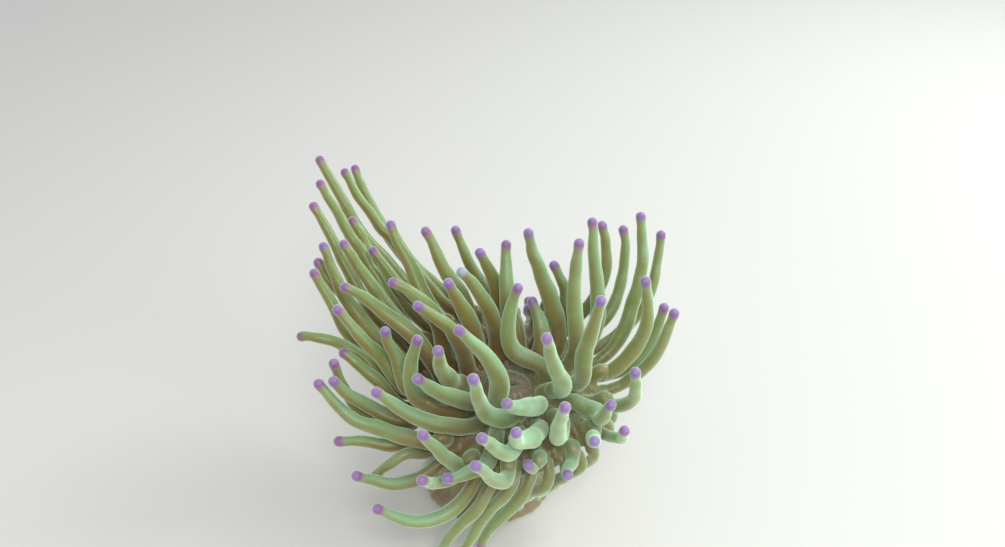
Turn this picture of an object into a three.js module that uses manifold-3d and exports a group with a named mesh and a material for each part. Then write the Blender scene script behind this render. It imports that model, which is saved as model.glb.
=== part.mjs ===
import * as THREE from "three";
import Module from "manifold-3d";

// A giant anemone at life size, in millimetres, with +Z up. The origin is the centre of the flat
// underside of the pedal disc, on which the animal stands. The front looks along -Y.

const wasm = await Module();
wasm.setup();

// ---------------------------------------------------------------- driving dimensions

const CROWN_CENTRE = new THREE.Vector3(11, -8, 82); // middle of the oral disc
const CROWN_LEAN_FRONT = 12; // degrees that the oral disc leans to the front
const CROWN_LEAN_RIGHT = 4; // and to the right
const CROWN_RADIUS = 56;
const DISC_RADIUS = 41.15; // the flat middle of the crown, inside the margin
const DISC_TOP = 1.6; // the disc's highest ring over its middle
const PEDAL_RADIUS = 42;
const PEDAL_TOP = 9;
const JOIN_GAP = 0.3; // left between neighbouring pieces

const FACE_TILT = 40; // degrees from the horizontal to the line that the crown faces along
const ROOT_DEPTH = 3; // how far the margin's tentacles start inside it
const ROOT_LIFT = 0.4; // how far the disc's own tentacles start over it
const TUBE_SIDES = 6;
const FLAT_TO_ROUND = 1.1; // a hexagon's corners, for the area of a round section
const NECK_RADIUS = 2.9; // a tentacle just below its tip
const TIP_RADIUS = 3.3; // the rounded tip itself
const TENTACLE_GAP = 1.4; // kept between neighbouring tentacles
const FLOOR_GAP = 3; // kept between the tentacles and the floor

const degrees = THREE.MathUtils.degToRad;
const axisX = new THREE.Vector3(1, 0, 0);
const axisZ = new THREE.Vector3(0, 0, 1);

// ---------------------------------------------------------------- frames

// The oral disc's own frame: its normal, and the directions to its right and to its back.
const crownNormal = new THREE.Vector3(
  Math.sin(degrees(CROWN_LEAN_RIGHT)),
  -Math.sin(degrees(CROWN_LEAN_FRONT)),
  Math.cos(degrees(CROWN_LEAN_FRONT)),
).normalize();
const crownBack = crownNormal.clone().cross(axisX).normalize();
const crownRight = crownBack.clone().cross(crownNormal);

function crownPoint(radius, azimuth, height) {
  return CROWN_CENTRE.clone()
    .addScaledVector(crownRight, radius * Math.cos(azimuth))
    .addScaledVector(crownBack, radius * Math.sin(azimuth))
    .addScaledVector(crownNormal, height);
}

function crownDirection(lean, azimuth) {
  return crownPoint(Math.sin(lean), azimuth, Math.cos(lean)).sub(CROWN_CENTRE);
}

// The tips are laid out in the frame of the crown's face: across to the right, rise up and back,
// and out towards the front.
const faceRise = new THREE.Vector3(0, Math.sin(degrees(FACE_TILT)), Math.cos(degrees(FACE_TILT)));
const faceOut = new THREE.Vector3(0, -Math.cos(degrees(FACE_TILT)), Math.sin(degrees(FACE_TILT)));

function facePoint(across, rise, out) {
  return CROWN_CENTRE.clone()
    .addScaledVector(axisX, across)
    .addScaledVector(faceRise, rise)
    .addScaledVector(faceOut, out);
}

// ---------------------------------------------------------------- rings of tentacles

// Each ring's seats are evenly spaced, from the right round by the back. A pose is one tentacle:
// its tip's across, rise and out, then how far its middle stands off the straight line to the
// right and upwards.
const RINGS = [
  {
    name: "inner",
    firstAzimuth: 15,
    radius: 23.5,
    height: DISC_TOP + ROOT_LIFT,
    onDisc: true,
    lean: 22,
    rootRadius: 5,
    bellyRadius: 5.7,
    bend: 0.36,
    poses: [
      [8, 55, 35, -17, -8],
      [15, 50, 4, 3, 0],
      [0, 84, 5, -4, 0],
      [-27, 65, 25, 4, 2],
      [-34, 58, 32, 2, 1],
      [-51, 44, 38, 5, 4],
      [-37, 19, 62, -3, -8],
      [-48, 4, 62, 1, -6],
      [-27, 29, 65, 8, 4],
      [-17, 4, 85, -6, -14],
      [0, -9, 75, 0, -5],
      [20, 25, 80, 5, -14],
    ],
  },
  {
    name: "middle",
    firstAzimuth: 0,
    radius: 37,
    height: DISC_TOP + ROOT_LIFT,
    onDisc: true,
    lean: 38,
    rootRadius: 4.6,
    bellyRadius: 5.4,
    bend: 0.4,
    poses: [
      [51, 46, 60, -5, -18],
      [41, 80, 40, -3, 0],
      [13, 89, 20, -3, 0],
      [10, 46, -5, 5, 2],
      [5, 46, -22, 0, 0],
      [-17, 79, 5, 5, 1],
      [-49, 92, 5, 1, 0],
      [-70, 97, 0, -3, -2],
      [-67, 58, 25, 8, 8],
      [-95, 56, 20, 5, 7],
      [-68, 31, 30, -7, -12],
      [-48, 25, 45, -13, -9],
      [-70, -3, 60, -1, -8],
      [-33, -48, 55, 5, -8],
      [-13, -26, 85, 3, -12],
      [5, -23, 92, -6, -8],
      [30, -10, 85, -6, -18],
      [56, -9, 50, 0, -17],
    ],
  },
  {
    name: "third",
    firstAzimuth: 10,
    radius: 46.5,
    height: -2.5,
    lean: 72,
    rootRadius: 4.3,
    bellyRadius: 4.8,
    bend: 0.55,
    poses: [
      [77, 59, 35, 11, -7],
      [50, 96, 15, 3, -3],
      [28, 73, -10, 4, 0],
      [25, 52, -25, 0, 0],
      [-31, 96, -15, -4, -2],
      [-30, 60, -25, 0, 0],
      [-83, 84, -20, -3, -3],
      [-99, 86, -5, -2, -4],
      [-110, 84, 0, -7, -8],
      [-97, 43, 30, 2, -2],
      [-97, 3, 36, -3, -8],
      [-105, 2, 35, -2, -11],
      [-44, -25, 70, 4, -14],
      [-17, -40, 80, 5, -11],
      [12, -42, 45, 0, -4],
      [33, -47, 46, 0, -4],
      [46, -29, 65, 0, -3],
      [69, 8, 50, 7, -12],
    ],
  },
  {
    name: "outer",
    firstAzimuth: 5,
    radius: 53,
    height: -6,
    lean: 104,
    rootRadius: 3.3,
    bellyRadius: 4.1,
    bend: 0.55,
    poses: [
      [96, 42, 20, 6, -3],
      [93, 47, 0, 6, -8],
      [80, 102, 0, 9, -2],
      [95, 94, -20, 11, -9],
      [71, 97, -20, 12, -6],
      [57, 98, -10, 12, -5],
      [30, 52, -55, 0, 0],
      [14, 55, -58, 0, 0],
      [2, 56, -60, 0, 0],
      [-12, 56, -58, 0, 0],
      [-101, 146, -65, -10, -11],
      [-106, 140, -50, -4, -4],
      [-120, 145, -35, -5, -6],
      [-99, 107, -38, -2, -3],
      [-118, 127, -25, 0, 0],
      [-120, 111, -15, -2, -1],
      [-114, 75, -5, -1, -1],
      [-115, 67, 5, -2, -3],
      [-121, 27, 10, 5, 13],
      [-95, 18, 20, 2, 5],
      [-97, 13, 30, -6, -12],
      [-95, -31, 30, 0, -1],
      [-74, -52, 26, 2, 9],
      [-82, -48, 42, -3, -9],
      [-45, -49, 66, 0, -4],
      [-70, -65, 45, 4, -19],
      [-38, -95, 16, -3, -2],
      [-26, -97, 6, -4, 0],
      [-14, -93, 3, -5, 2],
      [8, -72, -14, -3, 2],
      [18, -66, -16, 0, 2],
      [28, -60, -18, 2, 2],
      [38, -53, -20, 4, 2],
      [64, -24, 45, 2, -4],
      [44, -31, -21, 8, -3],
      [47, -25, -26, 8, -3],
    ],
  },
];

const STALK_LENGTH = 7; // a tentacle leaves its seat straight for this far
const BELLY_SHARE = 0.34; // where along its length a tentacle is widest
const LEAVING_SHARE = 0.4; // how far it keeps that direction as it turns to its tip
const TURNING_SHARE = 0.67; // and where it starts to follow its tip
const SWAY_REACH = 8 / 3; // shift of the curve's handles that moves its middle by one
const WAVE_SIZE = 1.1; // a slight swaying of every tentacle
const SWING = 9; // radians of that swaying along a tentacle, to the side
const BOB = 8; // and upwards
const BOB_OFFSET = 1.7; // so that the two don't keep in step
const GOLDEN_ANGLE = Math.PI * (3 - Math.sqrt(5));
const USUAL_LENGTH = 80; // a longer tentacle is a little thicker
const GIRTH_GROWTH = 0.25; // power of the length
const GIRTH_CHANGE = 0.06; // share that differs from one tentacle to the next
const GIRTH_STEP = 3.3;
const TAPER_TO = 2.7; // the taper would end thinner than the neck, which keeps its radius
const TAPER_POWER = 1.15;
const STEPS = 22; // points along a centreline, less one

// One tentacle's centreline: its seat, then evenly spaced points from its stalk's end to its tip.
function makeTentacle(ring, place, index) {
  const azimuth = degrees(ring.firstAzimuth + (360 / ring.poses.length) * place);
  const seat = crownPoint(ring.radius, azimuth, ring.height);
  const leaving = crownDirection(degrees(ring.lean), azimuth);
  const stalk = seat.clone().addScaledVector(leaving, STALK_LENGTH);
  const [across, rise, out, swayAcross, swayUp] = ring.poses[place];
  const tip = facePoint(across, rise, out);
  const chord = tip.clone().sub(stalk);
  tip.addScaledVector(chord.normalize(), TIP_RADIUS);
  chord.subVectors(tip, stalk);
  const reach = chord.length();
  const sway = new THREE.Vector3(swayAcross, 0, swayUp);
  const first = chord.clone().normalize().lerp(leaving, LEAVING_SHARE).normalize();
  const curve = new THREE.CubicBezierCurve3(
    stalk,
    stalk.clone()
      .addScaledVector(first, reach * (1 - TURNING_SHARE))
      .addScaledVector(sway, SWAY_REACH * (1 - ring.bend)),
    stalk.clone()
      .addScaledVector(chord, TURNING_SHARE)
      .addScaledVector(sway, SWAY_REACH * ring.bend),
    tip,
  );
  const points = curve.getSpacedPoints(STEPS - 1);
  const sideways = chord.clone().cross(axisZ).normalize();
  points.forEach((point, i) => {
    const t = i / (STEPS - 1);
    const size = WAVE_SIZE * Math.sin(Math.PI * t);
    const offset = index * GOLDEN_ANGLE;
    point.addScaledVector(sideways, size * Math.sin(SWING * t + offset));
    point.addScaledVector(axisZ, size * Math.cos(BOB * t + BOB_OFFSET * offset));
  });
  points.unshift(seat);
  const length = curve.getLength() + STALK_LENGTH;
  const girth =
    Math.pow(length / USUAL_LENGTH, GIRTH_GROWTH) *
    (1 + GIRTH_CHANGE * Math.sin(index * GIRTH_STEP));
  return { ring, place, azimuth, seat, leaving, points, length, girth };
}

// The radius of a tentacle at a share of its length: its root, its belly, its neck and its tip.
function tentacleRadius(tentacle, share) {
  const { ring, girth } = tentacle;
  const belly = ring.bellyRadius * girth;
  if (share < BELLY_SHARE) {
    const swelling = THREE.MathUtils.smoothstep(share, 0, BELLY_SHARE);
    return THREE.MathUtils.lerp(ring.rootRadius, belly, swelling);
  }
  const taper = Math.pow((share - BELLY_SHARE) / (1 - BELLY_SHARE), TAPER_POWER);
  return Math.max(THREE.MathUtils.lerp(belly, TAPER_TO, taper), NECK_RADIUS);
}

// ---------------------------------------------------------------- keeping them apart

const PASSES = 320;
const FIXED_POINTS = 2; // at the root
const STIFFNESS = 0.04; // pull back to the pose in the first pass, less in each later one
const PUSH_SHARE = 0.7; // of the missing room, made up in one pass
const SMOOTH_ROUNDS = 2;
const BOX_MARGIN = 7; // more than a tentacle's radius and half the gap

const RIM = { radius: 45.5, height: -10, thickness: 11.5 }; // the crown's rolled edge, as a torus
const COLUMN_CLEARANCE = 36;

// Where a point near the crown lies: out from its axis, and above its disc.
function inCrown(point) {
  const from = point.clone().sub(CROWN_CENTRE);
  const height = from.dot(crownNormal);
  const outward = from.addScaledVector(crownNormal, -height);
  return { height, radius: outward.length(), outward: outward.normalize() };
}

// Pushes a point out of the crown's edge, the column and the floor.
function clearOfBody(point, radius) {
  const { height, radius: far, outward } = inCrown(point);
  const fromRim = new THREE.Vector2(far - RIM.radius, height - RIM.height);
  const rimRoom = RIM.thickness + radius + TENTACLE_GAP - fromRim.length();
  if (rimRoom > 0) {
    fromRim.normalize().multiplyScalar(rimRoom);
    point.addScaledVector(outward, fromRim.x).addScaledVector(crownNormal, fromRim.y);
  }
  if (height < RIM.height && far < COLUMN_CLEARANCE + radius) {
    point.addScaledVector(outward, COLUMN_CLEARANCE + radius - far);
  }
  point.z = Math.max(point.z, radius + FLOOR_GAP);
}

// The points of two tentacles that are too close move apart by half of what is missing each.
function pushApart(a, b, shifts) {
  const apart = new THREE.Vector3();
  for (let i = FIXED_POINTS; i <= STEPS; i++) {
    for (let j = FIXED_POINTS; j <= STEPS; j++) {
      apart.subVectors(a.points[i], b.points[j]);
      const room = a.radii[i] + b.radii[j] + TENTACLE_GAP;
      const distance = apart.length();
      if (distance < room) {
        apart.multiplyScalar((0.5 * (room - distance)) / Math.max(distance, 0.01));
        shifts.get(a)[i].add(apart);
        shifts.get(b)[j].sub(apart);
      }
    }
  }
}

function boxesMeet(a, b) {
  return a.box.intersectsBox(b.box);
}

// Shifts are smoothed along each tentacle, so that it bends away instead of kinking.
function keepApart(tentacles) {
  for (const t of tentacles) {
    t.pose = t.points.map((p) => p.clone());
    t.radii = t.points.map(
      (_, i) => FLAT_TO_ROUND * Math.max(tentacleRadius(t, i / STEPS), TIP_RADIUS),
    );
  }
  for (let pass = 0; pass < PASSES; pass++) {
    const pull = STIFFNESS * (1 - pass / PASSES);
    const shifts = new Map(tentacles.map((t) => [t, t.points.map(() => new THREE.Vector3())]));
    for (const t of tentacles) {
      t.box = new THREE.Box3().setFromPoints(t.points).expandByScalar(BOX_MARGIN);
    }
    tentacles.forEach((a, i) => {
      for (const b of tentacles.slice(i + 1)) if (boxesMeet(a, b)) pushApart(a, b, shifts);
    });
    for (const t of tentacles) {
      let moves = shifts.get(t).map((shift, i) =>
        shift.multiplyScalar(PUSH_SHARE).addScaledVector(t.pose[i].clone().sub(t.points[i]), pull),
      );
      for (let round = 0; round < SMOOTH_ROUNDS; round++) moves = smoothed(moves);
      t.points.forEach((point, i) => {
        if (i < FIXED_POINTS) return;
        point.add(moves[i]);
        if (i > FIXED_POINTS) clearOfBody(point, t.radii[i]);
      });
    }
  }
}

function smoothed(moves) {
  return moves.map((move, i) => {
    const before = moves[Math.max(i - 1, 0)];
    const after = moves[Math.min(i + 1, moves.length - 1)];
    return move.clone().multiplyScalar(0.5).addScaledVector(before, 0.25).addScaledVector(after, 0.25);
  });
}

// ---------------------------------------------------------------- closed geometry

// Joins rings of points into one closed surface. Poles close its two ends; without them the last
// ring joins the first. Each ring runs counter-clockwise seen from the end it faces.
function loft(rings, startPole, endPole) {
  const sides = rings[0].length;
  const points = rings.flat();
  const faces = [];
  const bands = startPole ? rings.length - 1 : rings.length;
  for (let band = 0; band < bands; band++) {
    const here = band * sides;
    const next = ((band + 1) % rings.length) * sides;
    for (let i = 0; i < sides; i++) {
      const j = (i + 1) % sides;
      faces.push([here + i, here + j, next + j], [here + i, next + j, next + i]);
    }
  }
  if (startPole) {
    const last = (rings.length - 1) * sides;
    const start = points.push(startPole) - 1;
    const end = points.push(endPole) - 1;
    for (let i = 0; i < sides; i++) {
      const j = (i + 1) % sides;
      faces.push([start, j, i], [end, last + i, last + j]);
    }
  }
  return solid(points, faces);
}

function solid(points, faces) {
  const vertProperties = new Float32Array(points.flatMap((p) => [p.x, p.y, p.z]));
  const triVerts = new Uint32Array(faces.flat());
  return new wasm.Manifold(new wasm.Mesh({ numProp: 3, vertProperties, triVerts }));
}

function geometryOf(manifold) {
  const mesh = manifold.getMesh();
  const positions = new Float32Array(mesh.numVert * 3);
  for (let i = 0; i < mesh.numVert; i++) {
    positions.set(mesh.vertProperties.subarray(i * mesh.numProp, i * mesh.numProp + 3), i * 3);
  }
  const geometry = new THREE.BufferGeometry();
  geometry.setAttribute("position", new THREE.BufferAttribute(positions, 3));
  geometry.setIndex(new THREE.BufferAttribute(mesh.triVerts, 1));
  geometry.computeVertexNormals();
  return geometry;
}

// ---------------------------------------------------------------- tentacle tubes

const FIRST_RING = 9; // from the seat to a tube's first ring
const NECK_BACK = 8; // from the end back to its neck
const RING_SPACING = 24;
const FEWEST_RINGS = 4;
const TIP_RING_BACK = 3; // from the end back to the tip's widest ring
const LOOK_SHARE = 0.03; // how far to each side a direction is measured

function pointAt(points, share) {
  const place = Math.min(Math.max(share * STEPS, 0), STEPS - 1e-6);
  const i = Math.floor(place);
  return points[i].clone().lerp(points[i + 1], place - i);
}

function directionAt(points, share) {
  return pointAt(points, share + LOOK_SHARE)
    .sub(pointAt(points, share - LOOK_SHARE))
    .normalize();
}

function tubeRing(centre, along, side, radius) {
  const other = along.clone().cross(side);
  return Array.from({ length: TUBE_SIDES }, (_, i) => {
    const turn = (2 * Math.PI * i) / TUBE_SIDES;
    return centre.clone()
      .addScaledVector(side, radius * FLAT_TO_ROUND * Math.cos(turn))
      .addScaledVector(other, radius * FLAT_TO_ROUND * Math.sin(turn));
  });
}

// Slides a ring's points along the tentacle into the level plane of its seat on the disc.
function levelOnDisc(ring, seat, along) {
  for (const point of ring) {
    const height = point.clone().sub(seat).dot(crownNormal);
    point.addScaledVector(along, -height / along.dot(crownNormal));
  }
}

function tubeOf(tentacle) {
  const { points, length, leaving, seat } = tentacle;
  const { onDisc, rootRadius } = tentacle.ring;
  const count = Math.max(Math.round(length / RING_SPACING), FEWEST_RINGS);
  let side = new THREE.Vector3().crossVectors(leaving, axisX).normalize();
  const start = seat.clone().addScaledVector(leaving, onDisc ? 0 : -ROOT_DEPTH);
  const rings = [tubeRing(start, leaving, side, rootRadius)];
  if (onDisc) levelOnDisc(rings[0], seat, leaving);
  for (let i = 0; i <= count; i++) {
    const back = i < count ? NECK_BACK : TIP_RING_BACK;
    const end = 1 - back / length;
    const share = i < count ? THREE.MathUtils.lerp(FIRST_RING / length, end, i / (count - 1)) : end;
    const along = directionAt(points, share);
    side = side.clone().addScaledVector(along, -side.dot(along)).normalize();
    const radius = i < count ? tentacleRadius(tentacle, share) : TIP_RADIUS;
    rings.push(tubeRing(pointAt(points, share), along, side, radius));
  }
  return loft(rings, start, points[STEPS].clone());
}

// ---------------------------------------------------------------- the body

const CROWN_SIDES = 36;
const COLUMN_SIDES = 20;
const UNDER_DISC = -24; // height of the crown's flat underside over the column
const COLUMN_TOP_RADIUS = 31;

// The crown's outline from the disc's edge round the rolled margin: out from the axis, and up.
const MARGIN_PROFILE = [
  [DISC_RADIUS + JOIN_GAP, 1.2],
  [DISC_RADIUS + JOIN_GAP, -20.6],
  [48, -18.4],
  [54, -15],
  [CROWN_RADIUS, -11],
  [54.6, -6.5],
  [51, -2.4],
  [46, 0.4],
];
const MARGIN_MIDDLE = { radius: 48, height: -9 }; // inside the outline
// The oral disc from its underside up to the throat in its middle.
const DISC_PROFILE = [
  [COLUMN_TOP_RADIUS, UNDER_DISC],
  [DISC_RADIUS, -20.6],
  [DISC_RADIUS, 1.2],
  [30, DISC_TOP],
  [14, 0],
  [4.6, 0],
  [3.2, -8],
];
const LIP_PROFILE = [
  [10.8, 0.3],
  [9.4, 2.6],
  [6.6, 3.4],
  [4.6, 1.8],
  [5, 0.3],
];
const MOUTH_STRETCH = 1.35; // the mouth is a slit, longer from left to right
const LIP_SIDES = 18;

function crownRing(radius, height, sides, stretch = 1) {
  return Array.from({ length: sides }, (_, i) => {
    const azimuth = (2 * Math.PI * i) / sides;
    const point = crownPoint(radius, azimuth, height);
    return point.addScaledVector(crownRight, radius * Math.cos(azimuth) * (stretch - 1));
  });
}

function oralDisc() {
  const rings = DISC_PROFILE.map(([radius, height]) => crownRing(radius, height, CROWN_SIDES));
  const [, deepest] = DISC_PROFILE[DISC_PROFILE.length - 1];
  return loft(rings, crownPoint(0, 0, UNDER_DISC), crownPoint(0, 0, deepest));
}

function marginSector(from, to) {
  const trim = JOIN_GAP / 2 / DISC_RADIUS;
  const azimuths = [from + trim, (from + to) / 2, to - trim];
  const rings = azimuths.map((azimuth) =>
    MARGIN_PROFILE.map(([radius, height]) => crownPoint(radius, azimuth, height)).reverse(),
  );
  const middle = (azimuth) => crownPoint(MARGIN_MIDDLE.radius, azimuth, MARGIN_MIDDLE.height);
  return loft(rings, middle(azimuths[0]), middle(azimuths[2]));
}

function lips() {
  const rings = LIP_PROFILE.map(([radius, height]) =>
    crownRing(radius, height, LIP_SIDES, MOUTH_STRETCH),
  );
  return loft(rings);
}

// The column rises from the pedal disc and bends over to carry the crown.
const STRAIGHT_UP_TO = 26; // height of the handle that keeps the column's foot upright
const SQUARE_FOR = 18; // and how far under the crown the handle lies that squares its top
const columnTop = crownPoint(0, 0, UNDER_DISC - JOIN_GAP);
const columnAxis = new THREE.CubicBezierCurve3(
  new THREE.Vector3(0, 0, PEDAL_TOP + JOIN_GAP),
  new THREE.Vector3(0, 0, STRAIGHT_UP_TO),
  columnTop.clone().addScaledVector(crownNormal, -SQUARE_FOR),
  columnTop,
);
const PEDAL_PROFILE = [
  [0, PEDAL_RADIUS - 1],
  [1.6, PEDAL_RADIUS],
  [5, PEDAL_RADIUS - 3.5],
  [PEDAL_TOP, 34],
];
// Along the column's axis: the share of its length, and the radius.
const COLUMN_PROFILE = [
  [0, 33],
  [0.25, 29],
  [0.5, 27.5],
  [0.78, 28.5],
  [1, COLUMN_TOP_RADIUS],
];
const COLUMN_SPLIT = 0.5;

function axisRing(share, radius) {
  const centre = columnAxis.getPoint(share);
  const along = columnAxis.getTangent(share);
  const back = along.clone().cross(axisX).normalize();
  const right = back.clone().cross(along);
  return Array.from({ length: COLUMN_SIDES }, (_, i) => {
    const turn = (2 * Math.PI * i) / COLUMN_SIDES;
    return centre.clone()
      .addScaledVector(right, radius * Math.cos(turn))
      .addScaledVector(back, radius * Math.sin(turn));
  });
}

function pedalDisc() {
  const rings = PEDAL_PROFILE.map(([height, radius]) =>
    Array.from({ length: COLUMN_SIDES }, (_, i) => {
      const turn = (2 * Math.PI * i) / COLUMN_SIDES;
      return new THREE.Vector3(radius * Math.cos(turn), radius * Math.sin(turn), height);
    }),
  );
  return loft(rings, new THREE.Vector3(0, 0, 0), new THREE.Vector3(0, 0, PEDAL_TOP));
}

function columnPiece(from, to) {
  const rows = COLUMN_PROFILE.filter(([share]) => share >= from && share <= to);
  const rings = rows.map(([share, radius], i) => {
    const gap = i === 0 && from > 0 ? JOIN_GAP / columnAxis.getLength() : 0;
    return axisRing(share + gap, radius);
  });
  const ends = [rings[0], rings[rings.length - 1]].map((ring) =>
    ring.reduce((sum, p) => sum.add(p), new THREE.Vector3()).divideScalar(ring.length),
  );
  return loft(rings, ends[0], ends[1]);
}

// ---------------------------------------------------------------- assembly

const SECTORS = 18;

function fleshOf(color, roughness) {
  return new THREE.MeshStandardMaterial({ color, roughness, metalness: 0 });
}

const tentacleFlesh = fleshOf(0x9a9a52, 0.45);
const marginFlesh = fleshOf(0x8d8450, 0.5);
const discFlesh = fleshOf(0x9a8468, 0.5);
const columnFlesh = fleshOf(0xa9714a, 0.55);

function addPiece(group, name, manifold, material) {
  const mesh = new THREE.Mesh(geometryOf(manifold), material);
  mesh.name = name;
  group.add(mesh);
}

function numbered(name, place) {
  return name + "_" + String(place + 1).padStart(2, "0");
}

function anemone() {
  const group = new THREE.Group();
  let index = 0;
  const tentacles = RINGS.flatMap((ring) =>
    ring.poses.map((_, place) => makeTentacle(ring, place, index++)),
  );
  keepApart(tentacles);

  addPiece(group, "pedal_disc", pedalDisc(), columnFlesh);
  addPiece(group, "column_lower", columnPiece(0, COLUMN_SPLIT), columnFlesh);
  addPiece(group, "column_upper", columnPiece(COLUMN_SPLIT, 1), columnFlesh);
  addPiece(group, "oral_disc", oralDisc(), discFlesh);
  addPiece(group, "mouth_lips", lips(), discFlesh);

  for (const tentacle of tentacles.filter((t) => t.ring.onDisc)) {
    const name = numbered("tentacle_" + tentacle.ring.name, tentacle.place);
    addPiece(group, name, tubeOf(tentacle), tentacleFlesh);
  }

  const width = (2 * Math.PI) / SECTORS;
  for (let place = 0; place < SECTORS; place++) {
    const from = place * width;
    const grown = tentacles
      .filter((t) => !t.ring.onDisc && t.azimuth > from && t.azimuth < from + width)
      .map(tubeOf);
    const sector = grown.reduce((sum, tube) => sum.add(tube), marginSector(from, from + width));
    addPiece(group, numbered("margin", place), sector, marginFlesh);
  }
  return group;
}

export default anemone();
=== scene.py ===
import itertools
import math

from collections import namedtuple

import bpy
import numpy as np
from mathutils import Matrix, Vector
from mathutils.kdtree import KDTree


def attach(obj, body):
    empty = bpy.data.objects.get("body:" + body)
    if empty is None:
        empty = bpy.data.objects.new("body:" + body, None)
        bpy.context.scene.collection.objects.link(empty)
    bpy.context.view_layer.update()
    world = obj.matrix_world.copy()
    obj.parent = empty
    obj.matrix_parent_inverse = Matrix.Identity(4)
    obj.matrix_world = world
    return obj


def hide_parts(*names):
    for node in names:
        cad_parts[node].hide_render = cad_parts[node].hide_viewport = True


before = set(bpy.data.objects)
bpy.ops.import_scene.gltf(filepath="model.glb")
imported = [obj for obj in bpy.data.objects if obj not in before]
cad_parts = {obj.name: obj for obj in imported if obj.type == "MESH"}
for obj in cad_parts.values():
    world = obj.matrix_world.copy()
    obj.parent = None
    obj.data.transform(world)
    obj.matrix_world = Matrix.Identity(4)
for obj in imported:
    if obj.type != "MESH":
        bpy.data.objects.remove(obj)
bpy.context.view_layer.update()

# A giant anemone at life size. Lengths below are in millimetres and become metres by MM, apart from
# the lights and the floor, which are in metres. The tentacles' lines are read off the frame's own
# solids, and one skin of flesh is made round them.

MM = 0.001

# ---------------------------------------------------------------- the crown's frame

CROWN_CENTRE = np.array((11.0, -8.0, 82.0))
CROWN_LEAN_FRONT = math.radians(12)
CROWN_LEAN_RIGHT = math.radians(4)
FACE_TILT = math.radians(40)  # from the horizontal to the line that the crown faces along
AXIS_X = np.array((1.0, 0.0, 0.0))


def unit(v):
    return v / np.maximum(np.linalg.norm(v, axis=-1, keepdims=True), 1e-9)


CROWN_NORMAL = unit(np.array((
    math.sin(CROWN_LEAN_RIGHT),
    -math.sin(CROWN_LEAN_FRONT),
    math.cos(CROWN_LEAN_FRONT),
)))
CROWN_BACK = unit(np.cross(CROWN_NORMAL, AXIS_X))
CROWN_RIGHT = np.cross(CROWN_BACK, CROWN_NORMAL)


def crown_point(radius, azimuth, height):
    outward = CROWN_RIGHT * math.cos(azimuth) + CROWN_BACK * math.sin(azimuth)
    return CROWN_CENTRE + outward * radius + CROWN_NORMAL * height


def smoothstep(x, low, high):
    t = np.clip((x - low) / (high - low), 0, 1)
    return t * t * (3 - 2 * t)


def band(x, rise, fall):
    """1 between two smooth edges, each given by where it begins and ends."""
    return smoothstep(x, *rise) * (1 - smoothstep(x, *fall))


# ---------------------------------------------------------------- short calls for a material


class Nodes:
    """A material's nodes, each made by one call that gives its output."""

    def __init__(self, material):
        self.tree = material.node_tree
        self.shader = self.tree.nodes["Principled BSDF"]

    def fill(self, node, inputs):
        for socket, value in inputs:
            if isinstance(value, bpy.types.NodeSocket):
                self.tree.links.new(value, node.inputs[socket])
            else:
                node.inputs[socket].default_value = value

    def add(self, kind, *inputs, **settings):
        node = self.tree.nodes.new(kind)
        for name, value in settings.items():
            setattr(node, name, value)
        self.fill(node, inputs)
        return node

    def set_shader(self, **inputs):
        """Fills the shader's sockets, whose names are written with _ for each space."""
        self.fill(self.shader, [(name.replace("_", " "), value) for name, value in inputs.items()])

    def attribute(self, name, output="Fac"):
        return self.add("ShaderNodeAttribute", attribute_name=name).outputs[output]

    def place(self):
        return self.add("ShaderNodeTexCoord").outputs["Object"]

    def maths(self, operation, a, b=0.0):
        return self.add("ShaderNodeMath", (0, a), (1, b), operation=operation).outputs[0]

    def step(self, value, low, high, to_low=0.0, to_high=1.0):
        node = self.add(
            "ShaderNodeMapRange",
            ("Value", value), ("From Min", low), ("From Max", high),
            ("To Min", to_low), ("To Max", to_high),
            interpolation_type="SMOOTHSTEP",
        )
        return node.outputs["Result"]

    def mix(self, share, a, b, blend="MIX"):
        node = self.add(
            "ShaderNodeMix", (0, share), (6, a), (7, b), data_type="RGBA", blend_type=blend
        )
        return node.outputs[2]

    def noise(self, vector, scale, detail=2.0, rough=0.5):
        node = self.add(
            "ShaderNodeTexNoise",
            ("Vector", vector), ("Scale", scale), ("Detail", detail), ("Roughness", rough),
        )
        return node.outputs["Fac"]

    def scaled(self, vector, factors):
        node = self.add(
            "ShaderNodeVectorMath", (0, vector), (1, factors), operation="MULTIPLY"
        )
        return node.outputs[0]

    def length(self, vector):
        node = self.add("ShaderNodeVectorMath", (0, vector), operation="LENGTH")
        return node.outputs["Value"]

    def bump(self, height, strength, distance, below=None):
        node = self.add(
            "ShaderNodeBump", ("Strength", strength), ("Distance", distance), ("Height", height)
        )
        if below is not None:
            self.tree.links.new(below, node.inputs["Normal"])
        return node.outputs[0]


def new_material(name):
    material = bpy.data.materials.new(name)
    material.use_nodes = True
    return material, Nodes(material)


def rgb(red, green, blue):
    """A colour as a screen shows it, from 0 to 255, in the scene's linear light."""
    def linear(c):
        c = c / 255
        return c / 12.92 if c <= 0.04045 else ((c + 0.055) / 1.055) ** 2.4
    return (linear(red), linear(green), linear(blue), 1)


# ---------------------------------------------------------------- camera, light and floor

CAMERA_DISTANCE = 620
CAMERA_LEFT = 2.7  # of the crown's centre
CAMERA_RAISE = math.radians(6.2)  # it looks this far above the crown's centre
SENSOR = 36.0
LENS = 37.0

LIGHTS = [
    # name, place, size, power, colour
    ("key", (0.15, -1.0, 1.15), 0.6, 12, (0.98, 1.0, 0.97)),
    ("fill", (0.95, -0.6, 0.6), 0.9, 5, (1.0, 1.0, 0.98)),
    ("rim", (0.9, 0.65, 0.9), 0.5, 10, (0.94, 1.0, 0.95)),
]
WORLD_COLOUR = (0.97, 0.98, 1.0, 1)
WORLD_STRENGTH = 0.7

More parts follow.
